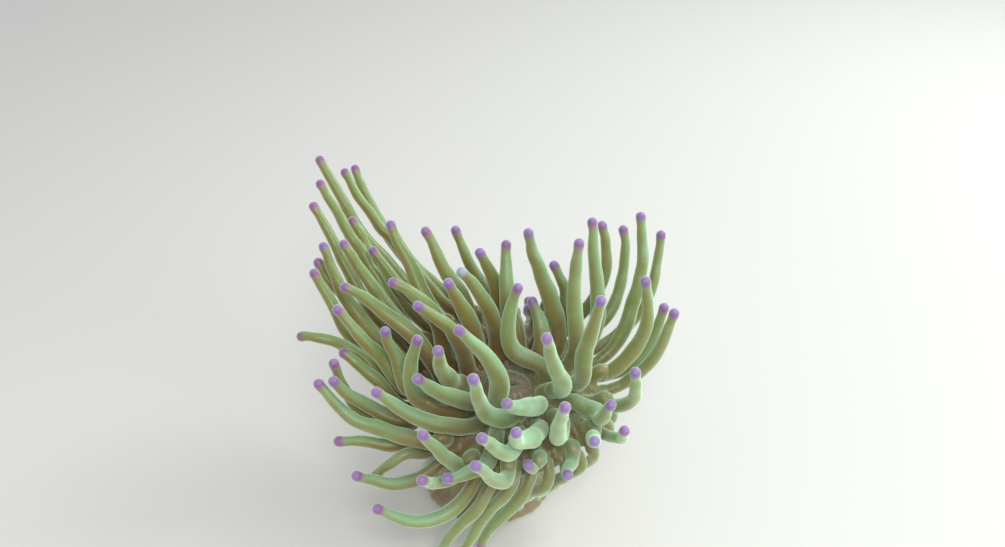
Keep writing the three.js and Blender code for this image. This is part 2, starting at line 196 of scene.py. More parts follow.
FLOOR_HALF = 40.0
FLOOR_COLOUR = (0.6, 0.595, 0.58, 1)
FLOOR_FAR_COLOUR = (0.95, 0.96, 0.98, 1)  # as pale as the studio behind it, so that no edge shows
FLOOR_FADE = (0.8, 5.0)


def add_camera():
    out = Vector((0, -math.cos(FACE_TILT), math.sin(FACE_TILT)))
    rise = Vector((0, math.sin(FACE_TILT), math.cos(FACE_TILT)))
    forward = rise * math.sin(CAMERA_RAISE) - out * math.cos(CAMERA_RAISE)
    up = rise * math.cos(CAMERA_RAISE) + out * math.sin(CAMERA_RAISE)
    right = forward.cross(up)
    camera = bpy.data.objects.new("camera", bpy.data.cameras.new("camera"))
    camera.data.sensor_width = SENSOR
    camera.data.lens = LENS
    place = Vector(CROWN_CENTRE) + out * CAMERA_DISTANCE - Vector(AXIS_X) * CAMERA_LEFT
    turn = Matrix((right, up, -forward)).transposed().to_4x4()
    camera.matrix_world = Matrix.Translation(place * MM) @ turn
    bpy.context.scene.collection.objects.link(camera)
    bpy.context.scene.camera = camera


def add_light(name, place, size, power, colour):
    data = bpy.data.lights.new(name, "AREA")
    data.shape = "DISK"
    data.size = size
    data.energy = power
    data.color = colour
    light = bpy.data.objects.new(name, data)
    light.location = place
    to_crown = Vector(CROWN_CENTRE) * MM - Vector(place)
    light.rotation_euler = to_crown.to_track_quat("-Z", "Y").to_euler()
    bpy.context.scene.collection.objects.link(light)


def add_studio():
    for light in LIGHTS:
        add_light(*light)
    world = bpy.data.worlds.new("studio")
    world.use_nodes = True
    background = world.node_tree.nodes["Background"]
    background.inputs["Color"].default_value = WORLD_COLOUR
    background.inputs["Strength"].default_value = WORLD_STRENGTH
    bpy.context.scene.world = world
    bpy.context.scene.view_settings.view_transform = "Standard"


def add_floor():
    mesh = bpy.data.meshes.new("floor")
    corners = [(-1, -1), (1, -1), (1, 1), (-1, 1)]
    mesh.from_pydata([(x * FLOOR_HALF, y * FLOOR_HALF, 0) for x, y in corners], [], [(0, 1, 2, 3)])
    floor = bpy.data.objects.new("floor", mesh)
    material, n = new_material("floor_paper")
    away = n.length(n.place())
    paper = n.mix(n.step(away, *FLOOR_FADE), FLOOR_COLOUR, FLOOR_FAR_COLOUR)
    n.set_shader(Base_Color=paper, Roughness=0.95, Specular_IOR_Level=0.2)
    mesh.materials.append(material)
    bpy.context.scene.collection.objects.link(floor)


# ---------------------------------------------------------------- tentacles read off the frame

TUBE_SIDES = 6  # of the frame's tentacles
FLAT_TO_ROUND = 1.1  # their corners lie this much outside the round tentacle
STALK_LENGTH = 9  # from a seat to its tube's first ring
ROOT_POLE = 0.5 * STALK_LENGTH  # a pole this near to a seat is a root's, not a tip's
ROOT_RING = 0.8 * STALK_LENGTH  # and a ring this near lies inside the body
LOST_RING = 2 * STALK_LENGTH  # the first ring is further off only where it has grown into a neighbour
COOL_SIDE = math.radians(-32)  # the tentacles on this side of the crown are a bluer green
SEAT_RINGS = [
    # count, first azimuth, radius, height, lean, root radius, sides of the fine tube, sway
    (12, 15, 23.5, 2.0, 22, 5.0, 16, 0.6),
    (18, 0, 37.0, 2.0, 38, 4.6, 14, 0.7),
    (18, 10, 46.5, -2.5, 72, 4.3, 14, 0.9),
    (36, 5, 53.0, -6.0, 104, 3.3, 12, 0.9),
]
INNER, MIDDLE, THIRD, OUTER = range(4)
SEATS_BEFORE = [sum(ring[0] for ring in SEAT_RINGS[:k]) for k in range(len(SEAT_RINGS))]
Seat = namedtuple("Seat", "place leaving root_radius sides sway cool")


def seats():
    """Where the tentacles grow, ring by ring from the right round by the back."""
    found = []
    for count, first, radius, height, lean, root_radius, sides, sway in SEAT_RINGS:
        for i in range(count):
            azimuth = math.radians(first + 360 / count * i)
            place = crown_point(radius, azimuth, height)
            tilt = math.radians(lean)
            leaving = crown_point(math.sin(tilt), azimuth, math.cos(tilt)) - CROWN_CENTRE
            cool = 0.5 + 0.5 * math.cos(azimuth - COOL_SIDE)
            found.append(Seat(place, leaving, root_radius, sides, sway, cool))
    return found


SEATS = seats()


def stalk_end(seat):
    return SEATS[seat].place + SEATS[seat].leaving * STALK_LENGTH


def seats_of(node_name):
    """The numbers of the seats that a node's tentacles grow from."""
    kind, number = node_name.rsplit("_", 1)
    i = int(number) - 1
    if kind == "tentacle_inner":
        return [SEATS_BEFORE[INNER] + i]
    if kind == "tentacle_middle":
        return [SEATS_BEFORE[MIDDLE] + i]
    return [SEATS_BEFORE[THIRD] + i, SEATS_BEFORE[OUTER] + 2 * i, SEATS_BEFORE[OUTER] + 2 * i + 1]


def corners_and_neighbours(node):
    """A frame solid's corners in millimetres, one each, and which corners share an edge."""
    mesh = node.data
    raw = np.array([v.co for v in mesh.vertices]) / MM
    corners, index = np.unique(np.round(raw, 3), axis=0, return_inverse=True)
    index = index.reshape(-1)
    neighbours = [set() for _ in corners]
    for edge in mesh.edges:
        a, b = (int(index[i]) for i in edge.vertices)
        if a != b:
            neighbours[a].add(b)
            neighbours[b].add(a)
    return corners, neighbours


def is_pole(i, neighbours):
    """True at the end of a tube: its ring's corners have one neighbour fewer than the others."""
    around = neighbours[i]
    return len(around) == TUBE_SIDES and all(len(neighbours[j]) == TUBE_SIDES - 1 for j in around)


def rings_below(tip, corners, neighbours):
    """A tube's rings from its tip down, as far as each has its full number of corners."""
    seen = {tip}
    ring = set(neighbours[tip])
    rings = []
    while len(ring) == TUBE_SIDES:
        rings.append(corners[sorted(ring)])
        seen |= ring
        ring = set().union(*(neighbours[i] for i in ring)) - seen
    return rings


def tubes_of(node, own_seats):
    """The tip and the rings of each tentacle that a frame solid holds."""
    corners, neighbours = corners_and_neighbours(node)
    tubes = []
    for i, corner in enumerate(corners):
        from_seat = min(np.linalg.norm(corner - SEATS[seat].place) for seat in own_seats)
        if from_seat > ROOT_POLE and is_pole(i, neighbours):
            tubes.append((corner, rings_below(i, corners, neighbours)))
    return tubes


def distance_to_seat(rings, seat):
    """How near a tube's rings come to the end of the straight stalk over a seat."""
    return min(np.linalg.norm(ring.mean(0) - stalk_end(seat)) for ring in rings)


def knots_of(seat, tip, rings):
    """A tentacle's points and radii, from its seat up to its tip."""
    place, root_radius = SEATS[seat].place, SEATS[seat].root_radius
    points = [tip]
    radii = [0.0]
    for ring in rings:
        centre = ring.mean(0)
        if np.linalg.norm(centre - place) > ROOT_RING:
            points.append(centre)
            radii.append(np.linalg.norm(ring - centre, axis=1).mean() / FLAT_TO_ROUND)
    radii[0] = radii[1]
    if np.linalg.norm(points[-1] - place) > LOST_RING:
        points.append(stalk_end(seat))
        radii.append(root_radius)
    points.append(place)
    radii.append(root_radius)
    return np.array(points[::-1]), np.array(radii[::-1])


def tentacle_knots():
    """Each tentacle's seat, points and radii. A node's tubes take its seats in the nearest way."""
    found = []
    for name in sorted(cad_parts):
        if not name.startswith(("tentacle_", "margin_")):
            continue
        own_seats = seats_of(name)
        tubes = tubes_of(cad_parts[name], own_seats)
        rings_of_tubes = [rings for _, rings in tubes]
        nearest = min(
            itertools.permutations(own_seats, len(tubes)),
            key=lambda order: sum(map(distance_to_seat, rings_of_tubes, order)),
        )
        for seat, (tip, rings) in zip(nearest, tubes):
            found.append((seat, *knots_of(seat, tip, rings)))
    return found


def curve_through(knots, values, first_slope):
    """The smooth curve that takes these values at the knots, as a function."""
    gaps = np.diff(knots)
    rises = np.diff(values, axis=0) / gaps[:, None]
    matrix = np.zeros((len(knots), len(knots)))
    wanted = np.zeros((len(knots), values.shape[1]))
    matrix[0, :2] = 2 * gaps[0], gaps[0]
    wanted[0] = 6 * (rises[0] - first_slope)
    for i in range(1, len(knots) - 1):
        matrix[i, i - 1:i + 2] = gaps[i - 1], 2 * (gaps[i - 1] + gaps[i]), gaps[i]
        wanted[i] = 6 * (rises[i] - rises[i - 1])
    matrix[-1, -1] = 1
    bends = np.linalg.solve(matrix, wanted)

    def at(x):
        i = np.clip(np.searchsorted(knots, x) - 1, 0, len(gaps) - 1)
        gap = gaps[i][:, None]
        before = knots[i + 1][:, None] - x[:, None]
        after = x[:, None] - knots[i][:, None]
        return (
            (bends[i] * before**3 + bends[i + 1] * after**3) / (6 * gap)
            + (values[i] / gap - bends[i] * gap / 6) * before
            + (values[i + 1] / gap - bends[i + 1] * gap / 6) * after
        )

    return at


# ---------------------------------------------------------------- what a surface carries

# Each corner carries these facts for its material. Left is how far a tentacle still runs to its end,
# cool how bluish its green is, and ridge how much of a line or wart shows. The grain is the place
# where its texture is looked up, so that wrinkles run round a tentacle.
FACT_NAMES = (
    "run", "left", "number", "pale", "cool", "column", "disc", "throat", "radial", "ridge",
)
RUN, LEFT, NUMBER, PALE, COOL, COLUMN, DISC, THROAT, RADIAL, RIDGE = range(len(FACT_NAMES))
GRAIN = len(FACT_NAMES)
FACTS = GRAIN + 3
GRAIN_RADIUS = 4
GRAIN_STEP = 40  # between one tentacle's grain and the next one's
Surface = namedtuple("Surface", "corners facts start end")


# ---------------------------------------------------------------- tentacles

# A run is how far along its line a point lies, from the seat, in millimetres.
RING_GAP = 1.15
FINE_STEPS = 400  # points that a curve is measured by
EMBED = 5.0  # how far a tentacle starts inside the body
TIP_RADIUS = 3.2
TIP_RINGS = 5
TIP_EASE = (12, 3)  # between these lengths before its end the radius turns into the tip's
ROUND_FROM = 0.85  # the round end begins this share of the tip's radius before the end
FIRST_TIP_RING = 0.25  # of the quarter turn from there to the end
PALE_TIPPED = 3  # this tentacle's tip has hardly any violet
NECK = 0.09  # below its tip a tentacle is this much slimmer
NECK_FROM_TIP = 8.5
NECK_REACH = 3.5
FLARE = 1.3  # a root spreads this much where it joins the body
FLARE_REACH = 2.4
RADIUS_BLUR = 5.0
FREE = (2, 10)  # a tentacle begins to swell and fold between these runs
LUMP = 0.05  # slow swellings, as a share of the radius
LUMP_PITCH = 16
SWAY_PITCH = 34  # of the waves in a tentacle's line
GOLDEN = math.pi * (3 - math.sqrt(5))

FOLD = 0.06  # height of the folds round a tentacle, times the shares below
FOLD_PITCH = 3.6
FOLD_ANYWHERE = 0.35
FOLD_AT_ROOT = 0.7
FOLD_ROOT_REACH = 25
FOLD_IN_BEND = 2.2  # on the inside of a bend of BEND_RADIUS
BEND_RADIUS = 22
BEND_MOST = 1.2  # a bend sharper than this many times that has no deeper folds
OVAL = 0.045  # a tentacle is this much wider one way, as a share of its radius
OVAL_TURN = 0.02  # and the way turns along it, in radians for each millimetre

PARTING_ROUNDS = 16
CLEARANCE = 0.3  # between two tentacles
FULLEST = 1.03  # a tentacle's widest reach, as a share of its radius
BOX_MARGIN = 6  # round each line: only tentacles whose boxes meet are held apart
MOVE_BLUR = 3.5  # along the line
ROOTED = (6, 13)  # a tentacle's line keeps its place up to the first run and is free past the second


def runs_of(points):
    """How far along a line each of its points is."""
    return np.concatenate([[0], np.cumsum(np.linalg.norm(np.diff(points, axis=0), axis=1))])


def rows_at(places, run, rows):
    """What a row of numbers at each run comes to at other places."""
    return np.stack([np.interp(places, run, rows[:, k]) for k in range(rows.shape[1])], 1)


def blur_shares(run, reach):
    """The shares in which each point takes from those near it along a line, and their sums."""
    shares = np.exp(-0.5 * ((run[:, None] - run[None]) / reach) ** 2)
    return shares, shares.sum(1)


def turning_frames(line):
    """Along and two directions across a line, which don't twist round it."""
    along = unit(np.gradient(line, axis=0))
    nearly_x = AXIS_X + 0.01  # no tentacle starts along it
    side = unit(np.cross(along[0], nearly_x))
    sides = [side]
    for direction in along[1:]:
        side = unit(side - direction * side.dot(direction))
        sides.append(side)
    sides = np.array(sides)
    return along, sides, np.cross(along, sides)


def waves(x, pitch, seed, parts=3):
    """A smooth uneven wave of about this pitch, from -1 to 1. Each seed gives another one."""
    total = 0
    for k in range(parts):
        first = np.sin(2 * np.pi * x / (pitch * (0.72 + 0.31 * k)) + seed * (k + 2.3))
        second = np.sin(2 * np.pi * x / (pitch * (0.86 + 0.23 * k)) + seed * (k + 1))
        total = total + (math.sin(seed * 1.7 + k) * 0.3 * first + 0.5 * second)
    return total / (0.6 * parts)


class Tentacle:
    """A tentacle's line from inside the body to its tip, and its radius along the line."""

    def __init__(self, seat, knots, radii):
        self.seat = seat
        steps = runs_of(knots)
        curve = curve_through(steps, knots, SEATS[seat].leaving)
        fine = curve(np.linspace(0, steps[-1], FINE_STEPS))
        start = fine[:1] - SEATS[seat].leaving * EMBED
        fine = np.vstack([start, fine])
        fine_run = runs_of(fine)
        count = int(round(fine_run[-1] / RING_GAP)) + 1
        places = np.linspace(0, fine_run[-1], count)
        self.line = rows_at(places, fine_run, fine)
        self.run = places - EMBED
        self.length = self.run[-1]
        to_tip = smoothstep(self.run, *(self.length - before for before in TIP_EASE))
        self.free = smoothstep(self.run, *FREE) * (1 - to_tip)
        knot_runs = steps * self.length / steps[-1]
        self.radius = self.grown_radius(np.interp(self.run, knot_runs, radii), to_tip)
        self.sway()

    def grown_radius(self, solid_radius, to_tip):
        """The radius of the frame's solid, smoothed, with a neck, lumps, and a spreading root."""
        shares, total = blur_shares(self.run, RADIUS_BLUR)
        radius = (shares * solid_radius).sum(1) / total
        radius = radius * (1 - to_tip) + TIP_RADIUS * to_tip
        from_neck = (self.length - self.run - NECK_FROM_TIP) / NECK_REACH
        radius = radius * (1 - NECK * np.exp(-(from_neck**2)))
        radius = radius * (1 + LUMP * self.free * waves(self.run, LUMP_PITCH, self.seat * GOLDEN))
        return radius + FLARE * np.exp(-np.maximum(self.run, 0) / FLARE_REACH)

    def sway(self):
        """Gives the line slow waves of its own, both ways across it."""
        _, side, other = turning_frames(self.line)
        for way, seed in ((side, self.seat * 1.3), (other, self.seat * 2.1 + 1)):
            reach = SEATS[self.seat].sway * (0.7 + 0.5 * math.sin(5 * seed))
            pitch = SWAY_PITCH * (1 + 0.35 * math.sin(seed))
            self.line = self.line + way * (reach * self.free * waves(self.run, pitch, seed))[:, None]


def pushes(one, two):
    """How far each point of one tentacle has to move, to stand clear of another."""
    apart = one.line[:, None] - two.line[None]
    distance = np.linalg.norm(apart, axis=2)
    missing = (one.radius[:, None] + two.radius[None]) * FULLEST + CLEARANCE - distance
    nearest = missing.argmax(1)
    own = np.arange(len(nearest))
    share = 0.5 * np.maximum(missing[own, nearest], 0) / distance[own, nearest]
    return apart[own, nearest] * share[:, None]


def keep_apart(tentacles):
    """Moves the tentacles aside where two would cut into each other, away from their roots."""
    for _ in range(PARTING_ROUNDS):
        low = np.array([t.line.min(0) - BOX_MARGIN for t in tentacles])
        high = np.array([t.line.max(0) + BOX_MARGIN for t in tentacles])
        meet = ((low[:, None] < high[None]) & (high[:, None] > low[None])).all(2)
        moves = [np.zeros(t.line.shape) for t in tentacles]
        for a, b in zip(*np.nonzero(np.triu(meet, 1))):
            moves[a] += pushes(tentacles[a], tentacles[b])
            moves[b] += pushes(tentacles[b], tentacles[a])
        for tentacle, move in zip(tentacles, moves):
            shares, total = blur_shares(tentacle.run, MOVE_BLUR)
            smooth = shares @ move / total[:, None]
            tentacle.line += smooth * smoothstep(tentacle.run, *ROOTED)[:, None]


def with_round_end(tentacle):
    """The runs and the radii of a tentacle's rings, its round end included."""
    quarter = np.linspace(FIRST_TIP_RING, 1, TIP_RINGS, endpoint=False)
    round_end = np.sin(quarter * np.pi / 2)
    end_run = tentacle.length - TIP_RADIUS + TIP_RADIUS * round_end
    cap = TIP_RADIUS * np.sqrt(1 - round_end**2)
    straight = tentacle.run < tentacle.length - TIP_RADIUS * ROUND_FROM
    return (
        np.concatenate([tentacle.run[straight], end_run]),
        np.concatenate([tentacle.radius[straight], cap]),
    )


def fold_height(seat, run, free, inner_bend):
    """How far the folds round a tentacle stand proud, on each side of each ring."""
    fold = waves(run, FOLD_PITCH, seat * 2.7)[:, None] * FOLD
    root_fold = FOLD_AT_ROOT * np.exp(-run / FOLD_ROOT_REACH)[:, None]
    return fold * free * (FOLD_ANYWHERE + root_fold + FOLD_IN_BEND * np.minimum(inner_bend, BEND_MOST))


def tentacle_facts(tentacle, run, turn):
    facts = np.zeros((len(run), len(turn), FACTS))
    facts[..., RUN] = run[:, None]
    facts[..., LEFT] = (tentacle.length - run)[:, None]
    facts[..., NUMBER] = tentacle.seat + 1
    facts[..., PALE] = tentacle.seat == PALE_TIPPED
    facts[..., COOL] = SEATS[tentacle.seat].cool
    facts[..., GRAIN] = GRAIN_RADIUS * np.cos(turn)[None]
    facts[..., GRAIN + 1] = GRAIN_RADIUS * np.sin(turn)[None]
    facts[..., GRAIN + 2] = run[:, None] + GRAIN_STEP * tentacle.seat
    return facts


def tentacle_surface(tentacle):
    """Rings of a tentacle's skin from inside the body to its tip, and the facts of each corner."""
    seat = tentacle.seat
    sides = SEATS[seat].sides
    turn = 2 * np.pi * np.arange(sides) / sides
    run, radius = with_round_end(tentacle)
    free = np.interp(run, tentacle.run, tentacle.free)[:, None]
    along, side, other = turning_frames(tentacle.line)
    bend = np.gradient(along, tentacle.run, axis=0)
    line, side, other, bend = (
        rows_at(run, tentacle.run, rows)[:, None] for rows in (tentacle.line, side, other, bend)
    )
    outward = unit(side * np.cos(turn)[None, :, None] + other * np.sin(turn)[None, :, None])
    inner_bend = np.maximum((outward * bend).sum(2) * BEND_RADIUS, 0)
    oval = OVAL * np.cos(2 * (turn[None] + seat) + OVAL_TURN * run[:, None]) * free
    reach = radius[:, None] * (1 + oval) + fold_height(seat, run, free, inner_bend)
    corners = line + outward * reach[..., None]
    return Surface(corners, tentacle_facts(tentacle, run, turn), tentacle.line[0], tentacle.line[-1])


# ---------------------------------------------------------------- the body under them

AROUND = 168
BODY_GAP = 1.6
PEDAL_TOP = 9.3
COLUMN_TOP = -24.3  # under the crown's centre
COLUMN_RISE = 26  # the column leaves the pedal disc straight up towards this height
COLUMN_REACH = 18  # and meets the crown straight from this far under its own top
UNDER_RADII = (12, 24, 34)  # of the rings that close the foot underneath
UNDER_RUNS = (-28, -16, -6)
PEDAL_ROWS = [
    # height, radius
    (0, 40.4),
    (0.45, 41.5),
    (1.7, 42.0),
    (3.4, 40.9),
    (5.2, 38.4),
    (9.0, 34.0),
]
COLUMN_ROWS = [
    # share of the way up the column, radius
    (0.1, 31.4),
    (0.25, 29.0),
    (0.5, 27.5),
    (0.78, 28.5),
    (0.95, 30.2),
]
CROWN_ROWS = [
    # radius, height, stretch to the right, stretch to the back
    (34, -23.4, 1, 1),
    (41.3, -20.6, 1, 1),
    (48, -18.4, 1, 1),
    (54, -15, 1, 1),
    (56, -11, 1, 1),
    (54.6, -6.5, 1, 1),
    (51, -2.4, 1, 1),
    (46, 0.3, 1, 1),
    (40, 1.3, 1, 1),
    (30, 1.5, 1, 1),
    (20, 0.6, 1, 1),
    (14, 0.0, 1, 1),
    (11.6, 0.3, 1.25, 1),
    (9.6, 2.2, 1.35, 1),
    (7.2, 3.2, 1.35, 0.85),
    (5.0, 2.2, 1.35, 0.5),
    (4.0, -0.6, 1.3, 0.25),
    (3.5, -4.5, 1.25, 0.2),
    (2.8, -8.0, 1.2, 0.25),
]
EDGE_ROW, DISC_ROW, LIPS_ROW, LIP_TOP_ROW, THROAT_ROW = 4, 8, 11, 14, 16  # rows of the crown

# Where the body's parts begin and end, as runs up from the rim of its foot and over to its throat.
Marks = namedtuple("Marks", "column_start column_end edge disc_start disc_end lip_top throat")

# What a row of numbers about a ring of the body holds.
CENTRE = slice(0, 3)
NORMAL = slice(3, 6)
RADIUS, RIGHT_STRETCH, BACK_STRETCH = 6, 7, 8

COLUMN_LINES = 36
RIDGES = 48  # on the oral disc, from its edge to the lips
LIP_RIDGES = 22
WART_ROWS = 5
WART_PITCH = 4.6
WART_SIZE = 0.9
FIRST_WARTS = 5  # below the column's top
WART_AROUND = 29  # the column's radius there
BODY_RUN = -20  # the body's flesh counts as this far below a seat,
BODY_LEFT = 200  # and as this far from a tip

BODY_FOLD_PITCH = 5.4
CREASE_PITCH = 2.9
DISC_WAVE_PITCH = 4.1

# How high each kind of relief stands on the body.
FOOT_WAVES = 0.9
FOOT_LINES = 0.3
COLUMN_BULGES = 0.6
COLUMN_FOLDS = 0.5
COLUMN_CREASES = 0.26
COLUMN_LINE_HEIGHT = 0.18
RIDGE_HEIGHT = 0.26
DISC_WAVES = 0.12
LIP_RIDGE_HEIGHT = 0.16
WART_HEIGHT = 0.6


def bezier(points, t):
    a, b, c, d = points
    return a * (1 - t)**3 + 3 * b * t * (1 - t)**2 + 3 * c * t**2 * (1 - t) + d * t**3


def bezier_slope(points, t):
    a, b, c, d = points
    return unit((b - a) * (1 - t)**2 + 2 * (c - b) * t * (1 - t) + (d - c) * t**2)


def body_rows():
    """Rings round the body from its foot up to its throat, each as a row of numbers."""
    up = np.array((0.0, 0.0, 1.0))
    top = crown_point(0, 0, COLUMN_TOP)
    axis = [up * PEDAL_TOP, up * COLUMN_RISE, top - CROWN_NORMAL * COLUMN_REACH, top]
    rows = [(up * height, up, radius, 1, 1) for height, radius in PEDAL_ROWS]
    rows += [
        (bezier(axis, share), bezier_slope(axis, share), radius, 1, 1)
        for share, radius in COLUMN_ROWS
    ]
    rows += [
        (crown_point(0, 0, height), CROWN_NORMAL, radius, right, back)
        for radius, height, right, back in CROWN_ROWS
    ]
    return np.array([np.hstack([centre, normal, rest]) for centre, normal, *rest in rows])


def ring_corners(rows, turn):
    """The corners of the rings that the rows describe."""
    centre, normal, radius = rows[:, CENTRE], unit(rows[:, NORMAL]), rows[:, RADIUS]
    back = unit(np.cross(normal, AXIS_X))
    right = np.cross(back, normal)
    to_right = (radius * rows[:, RIGHT_STRETCH])[:, None, None]
    to_back = (radius * rows[:, BACK_STRETCH])[:, None, None]
    return (
        centre[:, None]
        + right[:, None] * to_right * np.cos(turn)[None, :, None]
        + back[:, None] * to_back * np.sin(turn)[None, :, None]
    )


def outward_of(corners):
    """The surface's direction outwards at each corner of a grid of rings."""
    up = np.gradient(corners, axis=0)
    round_it = np.roll(corners, -1, 1) - np.roll(corners, 1, 1)
    return unit(np.cross(round_it, up))


def body_grid(turn):
    """The body's smooth rings from under its foot to its throat, their runs, and its marks."""
    rows = body_rows()
    knots = runs_of(rows[:, [0, 1, 2, RADIUS]])
    first_slope = (rows[1] - rows[0]) / knots[1]
    run = np.linspace(0, knots[-1], int(knots[-1] / BODY_GAP))
    fine = curve_through(knots, rows, first_slope)(run)
    under = np.repeat(fine[:1], len(UNDER_RADII), 0)
    under[:, RADIUS] = UNDER_RADII
    corners = ring_corners(np.vstack([under, fine]), turn)
    first_crown = len(PEDAL_ROWS) + len(COLUMN_ROWS)
    crown_marks = (0, EDGE_ROW, DISC_ROW, LIPS_ROW, LIP_TOP_ROW, THROAT_ROW)
    marks = Marks(knots[len(PEDAL_ROWS) - 1], *(knots[first_crown + k] for k in crown_marks))
    return corners, np.concatenate([UNDER_RUNS, run]), marks


def parts_at(s, marks):
    """How much the body is foot, column, disc and lips at each run."""
    foot = band(s, (0.4, 2), (marks.column_start, marks.column_start + 8))
    column = band(
        s,
        (marks.column_start - 3, marks.column_start + 6),
        (marks.column_end - 4, marks.edge - 4),
    )
    disc = band(s, (marks.edge + 4, marks.disc_start + 4), (marks.disc_end - 4, marks.disc_end))
    lips = band(s, (marks.disc_end, marks.disc_end + 2.5), (marks.throat - 1, marks.throat + 5))
    return foot, column, disc, lips


def column_lines(s, a):
    return np.cos(COLUMN_LINES * a + 0.3 * np.sin(s / 7))


def warts_at(s, a, column_end):
    """Rows of small round warts below the column's top, 1 at the middle of each."""
    warts = np.zeros((len(s), AROUND))
    for row in range(WART_ROWS):
        at = column_end - FIRST_WARTS - WART_PITCH * row
        offset = (row % 2) * np.pi / COLUMN_LINES
        beside = np.sin(0.5 * COLUMN_LINES * (a - offset)) * 2 / COLUMN_LINES * WART_AROUND
        warts = warts + np.exp(-((s - at)**2 + beside**2) / WART_SIZE**2)
    return warts


def body_relief(s, a, parts, warts):
    """How far the body stands proud of its smooth rings, at runs s and angles a."""
    foot, column, disc, lips = parts
    lines = column_lines(s, a)
    wobble = 0.5 * np.sin(5 * a + 1) + 0.3 * np.sin(9 * a + 2.2) + 0.35 * np.sin(14 * a + 0.4)
    bulges = np.sin(3 * a + s / 13 + 1.4) + 0.7 * np.sin(2 * a - s / 9) + 0.5 * np.sin(5 * a + s / 7)
    folds = waves(s + 0.9 * np.sin(3 * a + 0.7) + 0.5 * np.sin(7 * a), BODY_FOLD_PITCH, 2.1)
    creases = waves(s + 1.2 * np.sin(4 * a + 2.0) + 0.8 * np.sin(9 * a + s / 5), CREASE_PITCH, 4.4)
    ridges = np.cos(LIP_RIDGES * a + 0.5 * np.sin(3 * a))
    proud = foot * (FOOT_WAVES * wobble + FOOT_LINES * lines)
    proud = proud + column * (
        COLUMN_BULGES * bulges
        + COLUMN_FOLDS * folds
        + COLUMN_CREASES * creases
        + COLUMN_LINE_HEIGHT * lines
    )
    disc_waves = waves(s, DISC_WAVE_PITCH, 0.6)
    proud = proud + disc * (RIDGE_HEIGHT * np.cos(RIDGES * a) + DISC_WAVES * disc_waves)
    proud = proud + lips * LIP_RIDGE_HEIGHT * ridges
    return proud + WART_HEIGHT * warts


def body_surface():
    """Rings of the body's skin, with its folds, ridges and warts, and the facts of each corner."""
    turn = 2 * np.pi * np.arange(AROUND) / AROUND
    corners, run, marks = body_grid(turn)
    s, a = run[:, None], turn[None]
    parts = parts_at(s, marks)
    _, column, disc, _ = parts
    warts = warts_at(s, a, marks.column_end)
    corners = corners + outward_of(corners) * body_relief(s, a, parts, warts)[..., None]
    corners[..., 2] = np.maximum(corners[..., 2], 0)
    corners[:len(UNDER_RADII) + 1, :, 2] = 0

    facts = np.zeros(corners.shape[:2] + (FACTS,))
    facts[..., RUN] = BODY_RUN
    facts[..., LEFT] = BODY_LEFT
    facts[..., COLUMN] = smoothstep(-s, 3 - marks.edge, -marks.column_end)
    facts[..., DISC] = smoothstep(s, marks.edge + 6, marks.disc_start)
    facts[..., THROAT] = smoothstep(s, marks.lip_top, marks.throat + 1)
    facts[..., RADIAL] = np.cos(RIDGES * a) * disc
    facts[..., RIDGE] = warts + 0.4 * column_lines(s, a) * column
    facts[..., GRAIN:] = corners
    return Surface(corners, facts, np.zeros(3), corners[-1].mean(0))


# ---------------------------------------------------------------- one skin

PAINTED_LIGHT_SIDE = np.array((0.4, 0.4, 0.8))  # the side towards which the tentacles' colour is painted paler, as painted light
ROOTS_END = 13  # joins at higher runs aren't softened
FILLET_REACH = 3.2
FILLET_FULL = 0.3  # the pull is full up to this share of the reach
FILLET_PULL = 0.6
FILLET_ROUNDS = 14


def closed_mesh(name, surface):
    """A closed tube of rings as a mesh object, in metres."""
    rings, sides = surface.corners.shape[:2]
    points = np.vstack([surface.corners.reshape(-1, 3), surface.start, surface.end]) * MM
    i = np.arange(sides)
    j = (i + 1) % sides
    here = (np.arange(rings - 1) * sides)[:, None]
    quads = np.stack([here + i, here + j, here + sides + j, here + sides + i], -1).reshape(-1, 4)
    last = (rings - 1) * sides
    start_point, end_point = rings * sides, rings * sides + 1
    ends = np.vstack([
        np.stack([np.full(sides, start_point), j, i], 1),
        np.stack([np.full(sides, end_point), last + i, last + j], 1),
    ])
    mesh = bpy.data.meshes.new(name)
    mesh.from_pydata(points.tolist(), [], quads.tolist() + ends.tolist())
    made = bpy.data.objects.new(name, mesh)
    bpy.context.scene.collection.objects.link(made)
    return made


def joined_skin(body, tubes):
    """The union of the body and all its tentacles, as one closed mesh."""
    group = bpy.data.collections.new("tubes")
    bpy.context.scene.collection.children.link(group)
    for tube in tubes:
        group.objects.link(tube)
        bpy.context.scene.collection.objects.unlink(tube)
    union = body.modifiers.new("union", "BOOLEAN")
    union.operation = "UNION"
    union.solver = "MANIFOLD"
    union.operand_type = "COLLECTION"
    union.collection = group
    depsgraph = bpy.context.evaluated_depsgraph_get()
    mesh = bpy.data.meshes.new_from_object(body.evaluated_get(depsgraph))
    for old in [body, *tubes]:
        bpy.data.objects.remove(old)
    bpy.data.collections.remove(group)
    mesh.name = "anemone_skin"
    skin = bpy.data.objects.new("anemone_skin", mesh)
    bpy.context.scene.collection.objects.link(skin)
    return skin


def edges_of(mesh):
    ends = np.zeros(len(mesh.edges) * 2, np.int32)
    mesh.edges.foreach_get("vertices", ends)
    return ends.reshape(-1, 2)


def vectors_of(vertices, field):
    values = np.zeros(len(vertices) * 3, np.float32)
    vertices.foreach_get(field, values)
    return values.reshape(-1, 3)


def points_of(mesh):
    return vectors_of(mesh.vertices, "co").astype(float)


def tree_of(points):
    tree = KDTree(len(points))
    for i, point in enumerate(points):
        tree.insert(point, i)
    tree.balance()
    return tree


